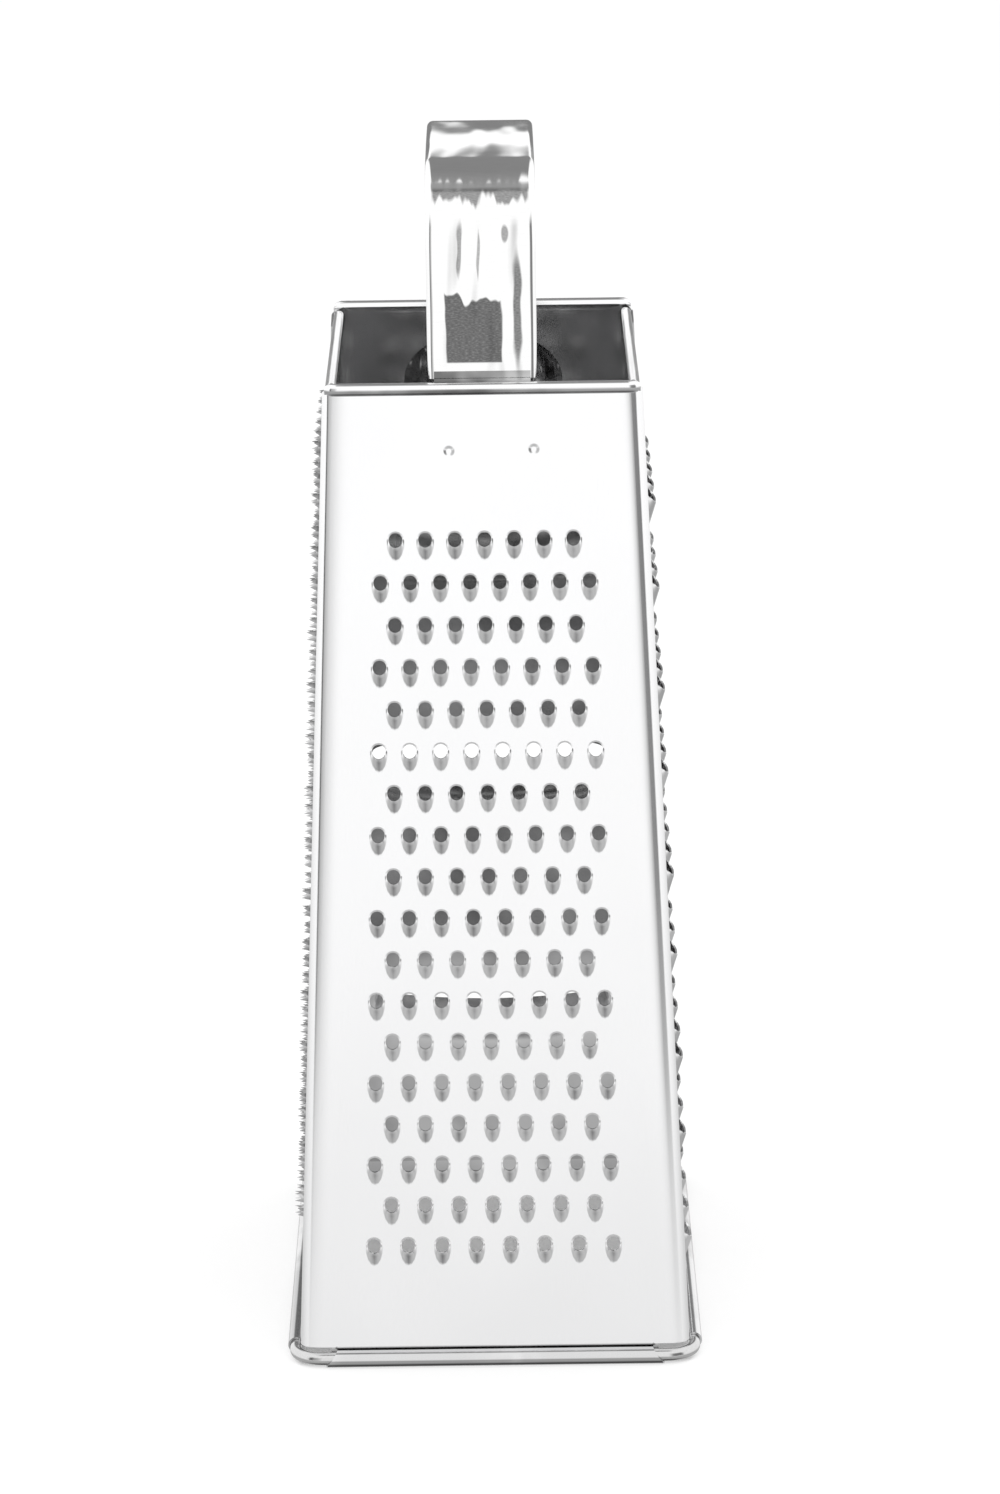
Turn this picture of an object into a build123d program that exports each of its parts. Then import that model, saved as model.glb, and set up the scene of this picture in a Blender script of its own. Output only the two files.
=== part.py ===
from build123d import *
from math import atan, cos, degrees, radians, sin, tan
import os

# Four-sided box grater of pressed stainless sheet: two folded walls, two flat walls, a wire ring
# rolled into the hem of all four, and a strap handle welded inside the rim.
# The origin is under the middle of the base, +Z is up. The finely shredding wall faces -Y, the
# slicing wall +Y, the rasp -X and the coarsely shredding wall +X.

# Tapered body, over the outer faces of the walls, without handle and hems
body_height = 198.0
top_width = 62.5
bottom_width = 79.0
top_depth = 78.0
bottom_depth = 108.0
sheet = 0.4
corner_radius = 1.6
corner_facets = 3
lap = 7.0
lap_gap = 0.05
edge_gap = 0.2

# Base hem: the sheet rolled outwards over a wire ring, with flats that it rests on
wire_radius = 1.25
wire_gap = 0.05
wire_bend = 5.5
wire_sides = 8
rest_flat = 0.15
base_hem_setback = 6.5
base_hem_turn = 290
hem_strip = 5.0

# Rim hem: the sheet rolled with nothing in it, outwards on the folded walls, where it stands above
# the corners, and inwards on the flat ones
rim_radius = 1.25
rim_lift = 1.0
rim_turn = 295
rim_end_gap = 1.0

# Strap handle: its edges are rolled under above the rim, its tails are welded inside the walls
handle_rise = 42.3
handle_width = 21.4
handle_sheet = 0.6
handle_bend = 17.0
handle_roll_radius = 1.3
handle_roll_turn = 190
handle_roll_steps = 4
handle_roll_start = 1.5
tail_width = 18.8
tab_width = 33.0
tab_height = 21.0
tab_drop = 16.0
weld_drop = 12.8
weld_spacing = 16.6
weld_radius = 0.8
weld_depth = 0.12
weld_sides = 6

# Fine scoops in the front wall: rows of 7 and 8 by turns, spreading with the taper
fine_columns = 8
fine_first_drop = 30.1
fine_end_margin = 20.0
fine_row_pitch = 8.454
fine_spread_share = 0.625
fine_hole_radius = 1.4
fine_half_width = 1.6
fine_rise = 1.05
fine_length = 3.8
fine_facets = 3

# Coarse scoops in the right wall: rows of 5 and 4 by turns
coarse_columns = 5
coarse_first_drop = 26.2
coarse_end_margin = 14.0
coarse_row_pitch = 19.1
coarse_spread_share = 0.62
coarse_half_width = 4.0
coarse_rise = 2.3
coarse_length = 6.5
coarse_window = 2.4
coarse_facets = 3

# Burrs of the rasp in the left wall: a diagonal lattice
burr_columns = 7
burr_first_drop = 15.2
burr_end_margin = 20.0
burr_row_pitch = 5.3
burr_spread_share = 0.69
burr_width = 2.2
burr_rise = 2.4

# Slicing slots in the rear wall
slot_first_drop = 47.3
slot_end_margin = 35.0
slot_pitch = 53.5
slot_width = 50.0
slot_opening = 4.0
slot_corner = 1.5
blade_overhang = 2.0
blade_sag = 3.0
blade_trim = 0.15
blade_rise = 1.9
blade_length = 9.0

overrun = 1.0

width_lean = atan((bottom_width - top_width) / 2 / body_height)
depth_lean = atan((bottom_depth - top_depth) / 2 / body_height)
hem_bore = wire_radius + wire_gap
hem_radius = hem_bore + sheet
wire_height = hem_radius - rest_flat
notch_height = wire_height + hem_radius + edge_gap
rim_bore = rim_radius - sheet
side_inset = sheet + lap_gap
corner_zone = corner_radius + edge_gap

# Each wall's own plane: origin at the middle of its top edge on the outer face, x across, y up the
# slope, z outwards. The flat side walls lie inside the flanges of the folded ones.
front = Plane((0, -top_depth / 2, body_height), (1, 0, 0), (0, -cos(depth_lean), sin(depth_lean)))
rear = Plane((0, top_depth / 2, body_height), (-1, 0, 0), (0, cos(depth_lean), sin(depth_lean)))
left = Plane((-top_width / 2, 0, body_height), (0, -1, 0), (-cos(width_lean), 0, sin(width_lean)))
right = Plane((top_width / 2, 0, body_height), (0, 1, 0), (cos(width_lean), 0, sin(width_lean)))
left = left.offset(-side_inset)
right = right.offset(-side_inset)


def width_at(height):
    """Outer width of the tapered body at a height above the base."""
    return bottom_width - 2 * height * tan(width_lean)


def depth_at(height):
    """Outer depth of the tapered body at a height above the base."""
    return bottom_depth - 2 * height * tan(depth_lean)


def drop_to(height, lean, wall, out):
    """Place along a wall's slope, negative downwards, of a point at a height and a distance out."""
    return (height - wall.origin.Z - out * sin(lean)) / cos(lean)


def hem(wall, centre, bore, turn, strip, length, inward=False):
    """A strip of the wall and the roll at its edge: turn is positive where it rolls under."""
    across = Plane(wall.origin, wall.z_dir, -wall.x_dir)
    near, far = (-sheet, 0) if inward else (0, -sheet)
    hub = near - bore if inward else near + bore
    start, sweep = (0, -turn) if inward else (180, turn)
    strip_end = centre + (strip if turn > 0 else -strip)
    with BuildPart() as rolled:
        with BuildSketch(across):
            with BuildLine():
                inside = CenterArc((hub, centre), bore, start, sweep)
                outside = CenterArc((hub, centre), bore + sheet, start, sweep)
                Line(inside @ 1, outside @ 1)
                Polyline(inside @ 0, (near, strip_end), (far, strip_end), outside @ 0)
            make_face()
        extrude(amount=length / 2, both=True)
    return rolled.part


def both_hems(wall, lean, base_length, rim_length, rim_centre, rim_inward):
    """The base hem and the rim hem of a wall."""
    base_centre = drop_to(wire_height, lean, wall, hem_bore)
    base = hem(wall, base_centre, hem_bore, base_hem_turn, hem_strip, base_length)
    rim = hem(wall, rim_centre, rim_bore, -rim_turn, hem_strip, rim_length, rim_inward)
    return [base, rim]


def scoop(half_width, rise, length, foot, facets, shell=0):
    """A tapering half tube out of the wall, planed in flat facets: open at y=0, running out downwards."""
    radius = (half_width**2 + rise**2) / (2 * rise)
    axis_depth = radius - rise
    slope = (rise + foot / 2) / length
    facet_turn = 180 / facets
    with BuildPart() as hood:
        with Locations((0, 0, -foot)):
            Box(2 * radius, length - shell, rise + foot, align=(Align.CENTER, Align.MAX, Align.MIN))
        for facet in range(facets):
            turn = radians((facet + 1 / 2) * facet_turn)
            reach = radius - shell
            point = (reach * cos(turn), 0, reach * sin(turn) - axis_depth)
            split(bisect_by=Plane(point, z_dir=(cos(turn), -slope, sin(turn))), keep=Keep.BOTTOM)
    return hood.part


def row_drops(lean, first_drop, row_pitch, end_margin):
    """Drops below the top edge of the rows that a wall has room for."""
    room = body_height / cos(lean) - first_drop - end_margin
    return [first_drop + row * row_pitch for row in range(int(room / row_pitch) + 1)]


def lattice(wall, drops, columns, top_spread, bottom_spread, long_first):
    """Places of teeth on a wall: full rows and rows of one less by turns, spreading downwards."""
    places = []
    for row, drop in enumerate(drops):
        count = columns if (row % 2 == 0) == long_first else columns - 1
        spread = top_spread + (bottom_spread - top_spread) * drop / body_height
        for column in range(count):
            across = (column - (count - 1) / 2) * spread / (columns - 1)
            places.append(wall.location * Location((across, -drop, 0)))
    return places


def faceted_rectangle(width, depth, radius):
    """Points round a rectangle whose corners are planed in facets."""
    points = []
    for quarter in range(4):
        x_side = 1 if quarter in (0, 3) else -1
        y_side = 1 if quarter < 2 else -1
        for step in range(corner_facets + 1):
            turn = radians(90 * (quarter + step / corner_facets))
            x = x_side * (width / 2 - radius) + radius * cos(turn)
            points.append((x, y_side * (depth / 2 - radius) + radius * sin(turn)))
    return points


def folded_wall(wall):
    """Front or rear wall: a slice of the tapered box with rounded corners and return flanges."""
    sheet_top = body_height - rim_radius * cos(depth_lean)
    strip_top = body_height - (2 * rim_radius + edge_gap)
    across_skin = sheet / cos(width_lean)
    along_skin = sheet / cos(depth_lean)
    with BuildPart() as folded:
        for height in (notch_height, sheet_top):
            with BuildSketch(Plane.XY.offset(height)):
                Polygon(*faceted_rectangle(width_at(height), depth_at(height), corner_radius), align=None)
        loft(ruled=True)
        for height in (notch_height, sheet_top):
            with BuildSketch(Plane.XY.offset(height)):
                inner_width = width_at(height) - 2 * across_skin
                inner_depth = depth_at(height) - 2 * along_skin
                Polygon(*faceted_rectangle(inner_width, inner_depth, corner_radius - sheet), align=None)
        loft(ruled=True, mode=Mode.SUBTRACT)
        with BuildSketch(wall.offset(-lap)):
            Rectangle(2 * bottom_width, 3 * body_height)
        extrude(amount=lap + overrun, mode=Mode.INTERSECT)
        with BuildSketch(wall.offset(-lap - overrun)):
            with Locations((0, strip_top - body_height)):
                Rectangle(2 * bottom_width, body_height, align=(Align.CENTER, Align.MIN))
        extrude(amount=lap + overrun - corner_zone, mode=Mode.SUBTRACT)
        base_length = bottom_width - 2 * base_hem_setback
        rim_length = top_width - 2 * rim_end_gap
        add(both_hems(wall, depth_lean, base_length, rim_length, rim_lift - rim_radius, False))
        split(bisect_by=Plane.XY, keep=Keep.TOP)
        weld_places = [(side * weld_spacing / 2, -weld_drop) for side in (-1, 1)]
        with BuildSketch(wall):
            with Locations(*weld_places):
                RegularPolygon(weld_radius, weld_sides)
        extrude(amount=-weld_depth, mode=Mode.SUBTRACT)
    return folded.part


def flat_wall(wall):
    """Left or right wall: a tapering plate between the flanges, with its own hems."""
    top_half = top_depth / 2 - corner_zone
    slant = -drop_to(notch_height, width_lean, wall, 0)
    bottom_half = depth_at(notch_height) / 2 - corner_zone
    rim_half = top_depth / 2 - corner_zone - 2 * edge_gap
    with BuildPart() as flat:
        with BuildSketch(wall):
            with BuildLine():
                Polyline(
                    (-top_half, -rim_radius),
                    (top_half, -rim_radius),
                    (bottom_half, -slant),
                    (-bottom_half, -slant),
                    close=True,
                )
            make_face()
        extrude(amount=-sheet)
        base_length = bottom_depth - 2 * base_hem_setback
        add(both_hems(wall, width_lean, base_length, 2 * rim_half, -rim_radius, True))
        split(bisect_by=Plane.XY, keep=Keep.TOP)
    return flat.part


# Front wall with its fine scoops
fine_scoop = scoop(fine_half_width, fine_rise, fine_length, sheet / 2, fine_facets)
fine_drops = row_drops(depth_lean, fine_first_drop, fine_row_pitch, fine_end_margin)
fine_places = lattice(
    front, fine_drops, fine_columns, fine_spread_share * top_width, fine_spread_share * bottom_width, False
)
with BuildPart() as fine_hole:
    with BuildSketch(Plane.XY.offset(-2 * fine_rise)):
        RegularPolygon(fine_hole_radius, 2 * fine_facets, rotation=90 / fine_facets)
    extrude(amount=4 * fine_rise)
front_blank = folded_wall(front)
with BuildPart() as fine_panel:
    add(front_blank)
    with Locations(*fine_places):
        add(fine_scoop)
    with Locations(*fine_places):
        add(fine_hole.part, mode=Mode.SUBTRACT)

# Rear wall with its slicing slots: below each window the sheet is drawn out to a cutting edge that
# dips in the middle
blade_stations_shares = [-1, -0.86, -0.6, 0, 0.6, 0.86, 1]
blade_rise_shares = [0.04, 0.62, 1, 1, 1, 0.62, 0.04]
blade_width = slot_width + 2 * blade_overhang


def blade_dip(share):
    """How far below its ends the cutting edge lies, at a share of its half width."""
    return blade_sag * (1 - share**2)


def blade(width, rise, length):
    """The drawn-out lip below a slot, as triangles lofted across the wall."""
    with BuildPart() as lip:
        for station, share in zip(blade_stations_shares, blade_rise_shares):
            edge = -blade_dip(station)
            with BuildSketch(Plane((station * width / 2, 0, 0), (0, 1, 0), (1, 0, 0))):
                Polygon((edge, 0), (edge, share * rise), (edge - share * length, 0), align=None)
        loft(ruled=True)
    return lip.part


blade_lip = blade(blade_width, blade_rise, blade_length)
blade_hollow = blade(blade_width - 4 * sheet, blade_rise - sheet, blade_length - 4 * sheet)
lower_edge = [
    (share * slot_width / 2, -blade_dip(share * slot_width / blade_width) - blade_trim)
    for share in blade_stations_shares
]
window_points = lower_edge + [
    (slot_width / 2, slot_opening - slot_corner),
    (slot_width / 2 - slot_corner, slot_opening),
    (-slot_width / 2 + slot_corner, slot_opening),
    (-slot_width / 2, slot_opening - slot_corner),
]
hollow_top = slot_width / 2 - 2 * sheet
hollow_foot = (blade_stations_shares[4] * blade_width / 2, -blade_dip(blade_stations_shares[4]) - blade_length / 2)
slot_drops = row_drops(depth_lean, slot_first_drop, slot_pitch, slot_end_margin)
slot_places = [rear.location * Location((0, -drop, 0)) for drop in slot_drops]
rear_blank = folded_wall(rear)
with BuildPart() as slot_cutter:
    with BuildSketch(Plane.XY.offset(-sheet - overrun)):
        Polygon(*window_points, align=None)
    extrude(amount=sheet + overrun + blade_rise + overrun)
    with BuildSketch(Plane.XY.offset(-sheet - overrun)):
        Polygon(
            (-hollow_top, 0),
            (hollow_top, 0),
            hollow_foot,
            (-hollow_foot[0], hollow_foot[1]),
            align=None,
        )
    extrude(amount=sheet + overrun)
    add(blade_hollow)
with BuildPart() as slicing_panel:
    add(rear_blank)
    with Locations(*slot_places):
        add(blade_lip)
    with Locations(*slot_places):
        add(slot_cutter.part, mode=Mode.SUBTRACT)

# Left wall with the burrs of its rasp
left_blank = flat_wall(left)
burr_drops = row_drops(width_lean, burr_first_drop, burr_row_pitch, burr_end_margin)
burr_places = lattice(
    left, burr_drops, burr_columns, burr_spread_share * top_depth, burr_spread_share * bottom_depth, False
)
with BuildPart() as burr:
    with Locations((0, 0, -sheet / 2)):
        Wedge(
            burr_width,
            burr_rise + sheet / 2,
            burr_width,
            burr_width / 2,
            burr_width / 2,
            burr_width / 2,
            burr_width / 2,
            rotation=(90, 45, 0),
            align=(Align.CENTER, Align.MIN, Align.CENTER),
        )
with BuildPart() as rasp_panel:
    add(left_blank)
    with Locations(*burr_places):
        add(burr.part)

# Right wall with its coarse scoops
right_blank = flat_wall(right)
coarse_scoop = scoop(coarse_half_width, coarse_rise, coarse_length, sheet / 2, coarse_facets)
coarse_hollow = scoop(
    coarse_half_width, coarse_rise, coarse_length, sheet + overrun, coarse_facets, sheet
)
coarse_drops = row_drops(width_lean, coarse_first_drop, coarse_row_pitch, coarse_end_margin)
coarse_places = lattice(
    right,
    coarse_drops,
    coarse_columns,
    coarse_spread_share * top_depth,
    coarse_spread_share * bottom_depth,
    True,
)
window_outline_shares = [(-1, 0), (-0.85, 0.55), (-0.45, 0.92), (0.45, 0.92), (0.85, 0.55), (1, 0)]
window_outline = [
    (x * (coarse_half_width - sheet), y * coarse_window) for x, y in window_outline_shares
]
with BuildPart() as coarse_cutter:
    add(coarse_hollow)
    with BuildSketch(Plane.XY.offset(-sheet - overrun)):
        Polygon(*window_outline, align=None)
    extrude(amount=sheet + overrun + coarse_rise)
with BuildPart() as coarse_panel:
    add(right_blank)
    with Locations(*coarse_places):
        add(coarse_scoop)
    with Locations(*coarse_places):
        add(coarse_cutter.part, mode=Mode.SUBTRACT)

# Wire ring inside the base hems, bare at the four corners
wire_y = -(front.from_local_coords(Vector(0, drop_to(wire_height, depth_lean, front, hem_bore), hem_bore)).Y)
wire_x = right.from_local_coords(Vector(0, drop_to(wire_height, width_lean, right, hem_bore), hem_bore)).X
with BuildPart() as base_wire:
    with BuildLine(Plane.XY.offset(wire_height)) as half_ring:
        FilletPolyline((0, -wire_y), (wire_x, -wire_y), (wire_x, wire_y), (0, wire_y), radius=wire_bend)
    with BuildSketch(Plane(half_ring.line @ 0, z_dir=half_ring.line % 0)):
        RegularPolygon(wire_radius, wire_sides)
    sweep()
    mirror(about=Plane.YZ)

# Strap handle
strap_out = -sheet - lap_gap
handle_top = body_height + handle_rise
corner_y = depth_at(handle_top) / 2 + strap_out / cos(depth_lean)
start_y = depth_at(body_height + handle_roll_start) / 2 + strap_out / cos(depth_lean)


def roll_points(radius):
    """Points round the rolled edge of the strap, from its flat web to the tucked-in end."""
    turns = [radians(-90 + step * handle_roll_turn / handle_roll_steps) for step in range(handle_roll_steps + 1)]
    middle = handle_width / 2 - handle_roll_radius
    return [(middle + radius * cos(turn), handle_roll_radius + radius * sin(turn)) for turn in turns]


with BuildPart() as handle:
    with BuildLine(Plane.YZ) as strap_path:
        FilletPolyline(
            (-start_y, body_height + handle_roll_start),
            (-corner_y, handle_top),
            (corner_y, handle_top),
            (start_y, body_height + handle_roll_start),
            radius=handle_bend,
        )
    with BuildSketch(Plane(strap_path.line @ 0, (1, 0, 0), strap_path.line % 0)):
        with BuildLine():
            Polyline(
                (0, 0),
                *roll_points(handle_roll_radius),
                *reversed(roll_points(handle_roll_radius - handle_sheet)),
                (0, handle_sheet),
            )
            mirror(about=Plane.YZ)
        make_face()
    sweep()
    for wall in (front, rear):
        with BuildSketch(wall.offset(strap_out)):
            with Locations((0, -tab_drop)):
                Ellipse(tab_width / 2, tab_height / 2)
                Rectangle(
                    tail_width,
                    tab_drop + 2 * handle_roll_start,
                    align=(Align.CENTER, Align.MIN),
                )
        extrude(amount=-handle_sheet)

os.makedirs("parts", exist_ok=True)
pieces = {
    "fine_shredder_panel": fine_panel,
    "slicing_panel": slicing_panel,
    "rasp_panel": rasp_panel,
    "coarse_shredder_panel": coarse_panel,
    "base_wire": base_wire,
    "handle": handle,
}
for name, piece in pieces.items():
    piece.part.label = name
    export_step(piece.part, f"parts/{name}.step")
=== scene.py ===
import math

import bpy
import numpy as np
from mathutils import Matrix


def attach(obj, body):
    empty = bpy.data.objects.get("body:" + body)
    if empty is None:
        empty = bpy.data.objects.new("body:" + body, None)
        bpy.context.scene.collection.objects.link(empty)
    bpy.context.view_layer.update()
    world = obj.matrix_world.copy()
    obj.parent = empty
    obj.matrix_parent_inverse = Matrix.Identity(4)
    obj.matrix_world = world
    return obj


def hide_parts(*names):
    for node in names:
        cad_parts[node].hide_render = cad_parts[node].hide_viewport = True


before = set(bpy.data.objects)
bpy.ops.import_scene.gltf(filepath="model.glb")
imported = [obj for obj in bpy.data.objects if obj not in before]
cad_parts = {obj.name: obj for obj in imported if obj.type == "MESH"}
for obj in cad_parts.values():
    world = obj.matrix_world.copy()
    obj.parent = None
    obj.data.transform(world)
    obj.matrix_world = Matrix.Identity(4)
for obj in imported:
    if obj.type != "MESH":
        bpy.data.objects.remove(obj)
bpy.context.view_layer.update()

# The finely shredding wall: stainless sheet folded back round both corners and pierced with rows of
# round holes, each with its lower edge pressed out to a scoop. Its top edge is rolled outwards, and
# its bottom edge is rolled round the wire. All lengths here and below are in millimetres.
body_height = 198.0
top_size = {"width": 62.5, "depth": 78.0}
bottom_size = {"width": 79.0, "depth": 108.0}
sheet = 0.4
side_inset = 0.45
lap = 7.0
rim_radius = 1.25
rim_lift = 1.0
rim_turn = -295
hem_bore = 1.298
hem_turn = 290
wire_radius = 1.25
wire_height = 1.55
notch_height = 3.45
flange_top = 195.3
shoulder = 6.5
foot_bend = 2.9


def lean_of(axis):
    """Slope of the walls that face along an axis: half the growth in size over the height."""
    return math.atan((bottom_size[axis] - top_size[axis]) / 2 / body_height)


def size_at(axis, height):
    """Outer size of the tapered body: the bottom size less the growth's share at that height."""
    return bottom_size[axis] + (top_size[axis] - bottom_size[axis]) * height / body_height


class Wall:
    """A wall's own directions: across it, down its slope and out of it, from the middle of its top edge."""

    def __init__(self, direction_x, direction_y, inset):
        axis = "width" if direction_x else "depth"
        self.lean = lean_of(axis)
        flat = np.array([direction_x, direction_y, 0.0])
        up = np.array([0.0, 0.0, 1.0])
        self.out = flat * math.cos(self.lean) + up * math.sin(self.lean)
        self.down = flat * math.sin(self.lean) - up * math.cos(self.lean)
        self.across = np.array([-direction_y, direction_x, 0.0])
        self.origin = flat * top_size[axis] / 2 + up * body_height - self.out * inset

    def place(self, across, drop, out):
        """Points of the wall: its origin plus each distance times its direction."""
        across, drop, out = np.broadcast_arrays(across, drop, out)
        return (
            self.origin
            + across[..., None] * self.across
            + drop[..., None] * self.down
            + out[..., None] * self.out
        )

    def drop_to(self, height, out):
        """How far down the slope a point lies that is at a height and a distance out."""
        return (self.origin[2] - height + out * math.sin(self.lean)) / math.cos(self.lean)


def facing(grid, direction):
    """The grid with its columns turned round where its faces would look against a direction."""
    points = grid[..., :3]
    down_rows = points[1:, :-1] - points[:-1, :-1]
    along_columns = points[:-1, 1:] - points[:-1, :-1]
    looks = np.cross(down_rows, along_columns)
    agreement = np.sum(looks * np.broadcast_to(direction[..., :3], points.shape)[:-1, :-1])
    return grid if agreement >= 0 else grid[:, ::-1]


def marked(grid, painted_shade):
    """The grid with a fourth column of painted shade, unless it has one: nothing for unshaded steel, up to
    one for the darkest.
    """
    if grid.shape[-1] == 4:
        return grid
    column = np.broadcast_to(painted_shade, grid.shape[:-1])[..., None]
    return np.concatenate([grid, column], axis=-1)


def skins(outer, inner):
    """Both surfaces of a piece of sheet, each facing away from the other: the inner one carries painted
    shade.
    """
    outer, inner = marked(outer, 0.0), marked(inner, 0.5)
    return [facing(outer, outer - inner), facing(inner, inner - outer)]


def plate(outer, inner):
    """A closed piece of sheet: its two surfaces and the four cut edges between them."""
    # The inner surface carries painted shade.
    outer, inner = marked(outer, 0.0), marked(inner, 0.5)
    patches = skins(outer, inner)
    for turn in range(2):
        for end, next_one in ((0, 1), (-1, -2)):
            edge = np.stack([outer[end], inner[end]])
            patches.append(facing(edge, outer[end] - outer[next_one]))
        outer, inner = outer.swapaxes(0, 1), inner.swapaxes(0, 1)
    return patches


def make_piece(name, patches, smooth_angle=38):
    """One mesh from grids of points in millimetres.

    Each cell of a grid is a face, and points within half a thousandth of a millimetre are welded.
    """
    points, faces, start = [], [], 0
    for grid in patches:
        grid = marked(grid, 0.0)
        layers = grid if grid.ndim == 4 else grid[None]
        count, rows, columns = layers.shape[:3]
        index = start + np.arange(count * rows * columns).reshape(count, rows, columns)
        corners = [index[:, :-1, :-1], index[:, 1:, :-1], index[:, 1:, 1:], index[:, :-1, 1:]]
        faces.append(np.stack(corners, axis=-1).reshape(-1, 4))
        points.append(layers.reshape(-1, 4))
        start += layers.size // 4
    points = np.concatenate(points)
    faces = np.concatenate(faces)
    weld_distance = 0.0005
    places = np.round(points[:, :3] / weld_distance).astype(np.int64)
    places, first, number = np.unique(places, axis=0, return_index=True, return_inverse=True)
    faces = number.reshape(-1)[faces]
    points = points[first]
    following = np.roll(faces, -1, axis=1)
    whole = np.all(faces != following, axis=1)
    three = np.sum(faces == following, axis=1) == 1
    polygons = faces[whole].tolist()
    for face in faces[three].tolist():
        polygons.append(list(dict.fromkeys(face)))
    mesh = bpy.data.meshes.new(name)
    mesh.from_pydata((points[:, :3] / 1000).tolist(), [], polygons)
    # The grids' fourth column becomes a point attribute that darkens the steel's colour as painted shade.
    mesh.attributes.new("painted_shade", "FLOAT", "POINT").data.foreach_set("value", points[:, 3])
    mesh.validate()
    mesh.polygons.foreach_set("use_smooth", [True] * len(mesh.polygons))
    mesh.set_sharp_from_angle(angle=math.radians(smooth_angle))
    piece = bpy.data.objects.new(name, mesh)
    bpy.context.scene.collection.objects.link(piece)
    return piece


def rounded(angle, half_width, top, bottom, top_fullness, bottom_fullness):
    """A closed outline: half a superellipse above its middle and half of another below it."""
    cosine, sine = np.cos(angle), np.sin(angle)
    height = np.where(sine > 0, top, bottom)
    power = 2 / np.where(sine > 0, top_fullness, bottom_fullness)
    x = half_width * np.sign(cosine) * np.abs(cosine) ** power
    y = height * np.sign(sine) * np.abs(sine) ** power
    return x, y


def formed_cells(wall, across, drop, half_cell, above, below, tooth):
    """Cells of sheet with a pressed tooth in each.

    Round each hole, rings of points run from its edge to the foot of the tooth and on to the cell's
    rectangle. A ring lies at a share of the way from hole to foot, and its height is the lip's height
    times one less the share, to a power. The lip rises with the depth of its point below the middle.
    The inner surface follows fewer of the rings, one sheet's thickness further in, and carries painted shade.
    The tooth's lowest line carries painted shade, fading upwards by the lip's depth to a power.
    """
    sides = tooth["sides"]
    angle = np.pi / 4 + 2 * np.pi * np.arange(sides + 1) / sides
    hole_x, hole_y = rounded(angle, *tooth["hole"])
    foot_x, foot_y = rounded(angle, *tooth["foot"])
    reach = np.maximum(np.abs(np.cos(angle)), np.abs(np.sin(angle)))
    square_x, square_y = np.cos(angle) / reach, np.sin(angle) / reach
    lower = np.clip(-np.sin(angle) + tooth["start"], 0, 1) / (1 + tooth["start"])
    lip = tooth["rise"] * lower ** tooth["arch"] - tooth["dip"] * np.clip(np.sin(angle), 0, 1)
    flat = np.ones((len(across), 1))
    cell_x = flat * square_x * half_cell[:, None]
    cell_y = flat * np.where(square_y > 0, square_y * above, square_y * below)
    shares = np.array(tooth["rings"])
    ring_x = hole_x + (foot_x - hole_x) * shares[:, None]
    ring_y = hole_y + (foot_y - hole_y) * shares[:, None]
    height = lip * np.clip(1 - shares[:, None], 0, 1) ** tooth["fall"]
    foot_row = tooth["rings"].index(1)
    inner_rows = [0, len(shares) // 2, foot_row] if tooth["deep"] else [0, foot_row]
    xs = [cell_x] + [flat * ring_x[row] for row in reversed(inner_rows)]
    ys = [cell_y] + [flat * ring_y[row] for row in reversed(inner_rows)]
    outs = [flat * (0 * lip - sheet)] + [flat * (height[row] - sheet) for row in reversed(inner_rows)]
    xs += [flat * row for row in ring_x] + [cell_x]
    ys += [flat * row for row in ring_y] + [cell_y]
    outs += [flat * row for row in height] + [flat * 0 * lip]
    x, y, out = (np.stack(parts, axis=1) for parts in (xs, ys, outs))
    points = wall.place(x + across[:, None, None], drop[:, None, None] - y, out)
    # Painted shade: one half on the inner surface, and along the tooth's lowest line, fading upwards.
    painted_shade = np.zeros((len(xs), sides + 1))
    painted_shade[: len(inner_rows) + 1] = 0.5
    painted_shade[len(inner_rows) + 2 : -3] = tooth["tip_shade"] * lower ** tooth["tip_shade_power"]
    return marked(points, painted_shade)


def band(wall, left_top, right_top, top, left_bottom, right_bottom, bottom):
    """A flat piece of a wall between two drops, as its outer and inner surface."""
    across = np.array([[left_top, right_top], [left_bottom, right_bottom]])
    drop = np.array([[top, top], [bottom, bottom]])
    return skins(wall.place(across, drop, 0.0), wall.place(across, drop, -sheet))


def toothed_field(wall, half_at, first_edge, last_edge, rows, tooth):
    """The flat middle of a wall: rows of formed cells, with plain sheet beside, above and below them."""
    above, below = tooth["above"], tooth["below"]
    patches = []
    starts = [row[0] - above for row in rows]
    ends = [row[0] + below for row in rows]
    for (drop, count, pitch), top, bottom in zip(rows, starts, ends):
        across = (np.arange(count) - (count - 1) / 2) * pitch
        half = np.full(count, pitch / 2)
        patches.append(tooth["cells"](wall, across, np.full(count, drop), half, above, below, tooth))
        edge = count * pitch / 2
        patches += band(wall, -half_at(top), -edge, top, -half_at(bottom), -edge, bottom)
        patches += band(wall, edge, half_at(top), top, edge, half_at(bottom), bottom)
    gaps = [(first_edge, starts[0])] + list(zip(ends[:-1], starts[1:])) + [(ends[-1], last_edge)]
    for top, bottom in gaps:
        if bottom - top > 0.001:
            patches += band(wall, -half_at(top), half_at(top), top, -half_at(bottom), half_at(bottom), bottom)
    return patches


def rows_of(first_drop, pitch, count, columns, axis, spread_share, long_first):
    """Rows as drop, number of teeth and pitch: full rows and rows of one less by turns."""
    rows = []
    for row in range(count):
        drop = first_drop + row * pitch
        spread = spread_share * size_at(axis, body_height - drop)
        full = (row % 2 == 0) == long_first
        rows.append((drop, columns if full else columns - 1, spread / (columns - 1)))
    return rows


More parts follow.
